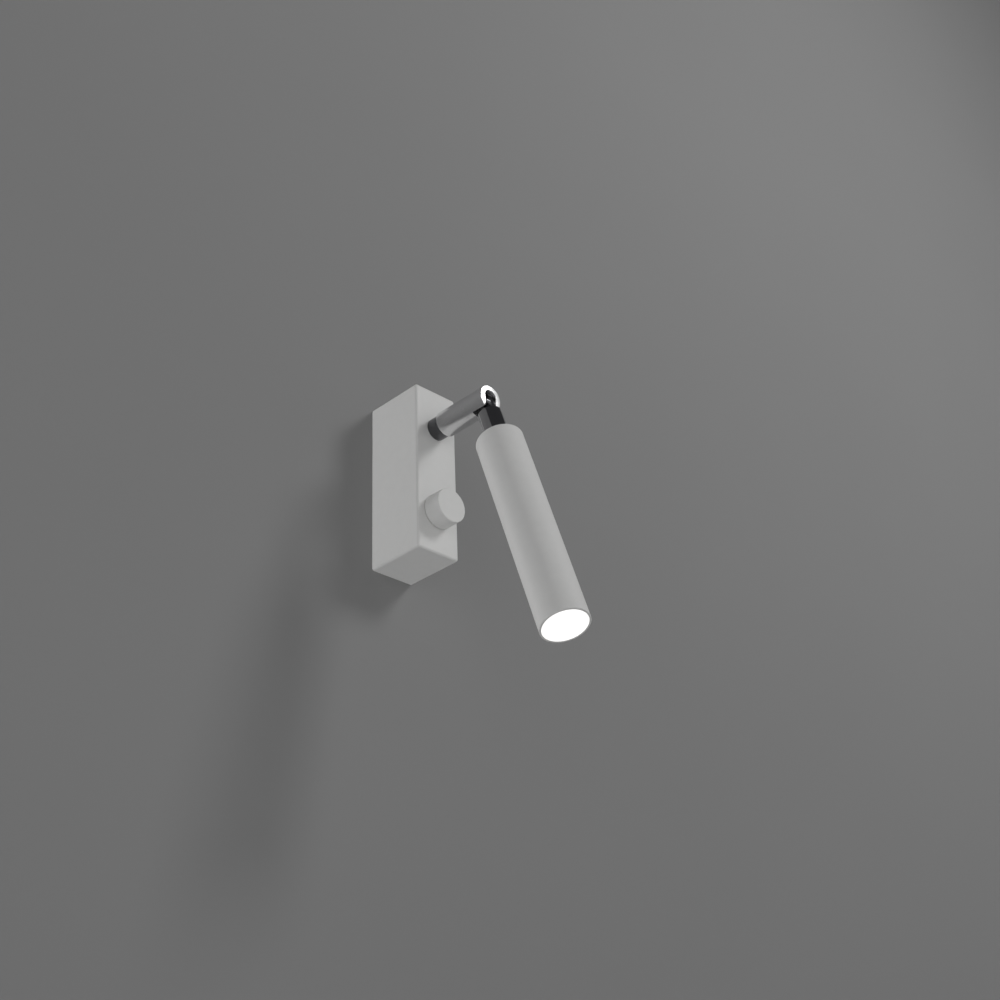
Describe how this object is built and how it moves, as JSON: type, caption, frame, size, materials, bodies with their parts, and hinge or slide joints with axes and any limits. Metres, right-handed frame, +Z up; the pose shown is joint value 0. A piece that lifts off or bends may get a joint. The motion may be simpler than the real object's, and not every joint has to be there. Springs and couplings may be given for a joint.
{
  "type": "pivoting spotlight wall light",
  "caption": "Wall spotlight: slim rectangular base with a dimmer knob and a short swivelling arm whose forked end carries a tilting tubular lamp head.",
  "frame": {"origin": "centre of the wall-screw pattern on the base's back face, in the plane of the wall", "axes": "+X along the wall, +Y into the wall, +Z up; the arm and the head stand out towards -Y"},
  "size_m": [0.03, 0.1423, 0.1862],
  "materials": {
    "white_paint": "matte powder coat with a fine grain",
    "satin_steel": "satin, fine lengthwise grain, polished end face",
    "dark_chrome": "dark polished",
    "chrome": "polished",
    "zinc_steel": "bright zinc plated",
    "brass": "machined",
    "black_rubber": "moulded",
    "white_moulding": "moulded nylon",
    "black_moulding": "moulded",
    "white_slip": "slippery washer plastic",
    "foam": "foam tape",
    "green_board": "solder-masked circuit board",
    "winding_tape": "yellow winding tape",
    "aluminium": "turned",
    "white_board": "white solder mask on aluminium",
    "phosphor": "yellow phosphor patch",
    "mirror_coat": "vacuum-metallised",
    "glowing_lens": "frosted diffuser, lit",
    "grey_insulation": "soft wire insulation",
    "black_insulation": "soft wire insulation",
    "earth_insulation": "soft wire insulation"
  },
  "bodies": {
    "base": {"base_housing": "white_paint", "housing_screw": "zinc_steel", "wall_plate": "zinc_steel", "cable_grommet": "black_rubber", "terminal_block": "white_moulding", "terminal_clamps": "brass", "terminal_screws": "zinc_steel", "terminal_block_screw": "zinc_steel", "earth_stud": "brass", "earth_nut": "brass", "earth_ring_tag": "zinc_steel", "earth_lead": "earth_insulation", "driver_pad": "foam", "driver_case": "black_moulding", "driver_lid": "black_moulding", "driver_board": "green_board", "driver_transformer": "winding_tape", "driver_capacitor": "black_moulding", "supply_leads": "grey_insulation", "dimmer_leads": "grey_insulation", "lamp_leads_base": "black_insulation", "dimmer_body": "black_moulding", "dimmer_washer": "zinc_steel", "dimmer_nut": "zinc_steel", "swivel_collar": "dark_chrome", "swivel_thrust_washer": "white_slip", "swivel_friction_washer": "white_slip", "stop_pin": "zinc_steel"},
    "knob": {"dimmer_shaft": "brass", "knob": "white_paint", "knob_grub_screw": "zinc_steel"},
    "arm": {"swivel_stud": "zinc_steel", "stop_washer": "zinc_steel", "swivel_nut": "zinc_steel", "arm_body": "satin_steel", "hinge_screw": "chrome", "tilt_bushes": "chrome", "lamp_leads_arm": "black_insulation"},
    "head": {"knuckle": "chrome", "head_lock_washer": "zinc_steel", "head_nut": "zinc_steel", "head_tube": "white_paint", "heat_sink": "aluminium", "led_board": "white_board", "board_screws": "zinc_steel", "led_chip": "phosphor", "reflector": "mirror_coat", "front_lens": "glowing_lens", "lamp_leads_head": "black_insulation"}
  },
  "joints": [
    {"name": "knob_turn", "type": "hinge", "parent": "base", "child": "knob", "pos_m": [0, -0.039, -0.0272], "axis": [0, -1, 0], "range_deg": [-150, 150]},
    {"name": "arm_swivel", "type": "hinge", "parent": "base", "child": "arm", "pos_m": [0, -0.039, 0.0272], "axis": [0, -1, 0], "range_deg": [-160, 160]},
    {"name": "head_tilt", "type": "hinge", "parent": "arm", "child": "head", "pos_m": [0, -0.0798, 0.0272], "axis": [-1, 0, 0], "range_deg": [-24, 72]}
  ]
}
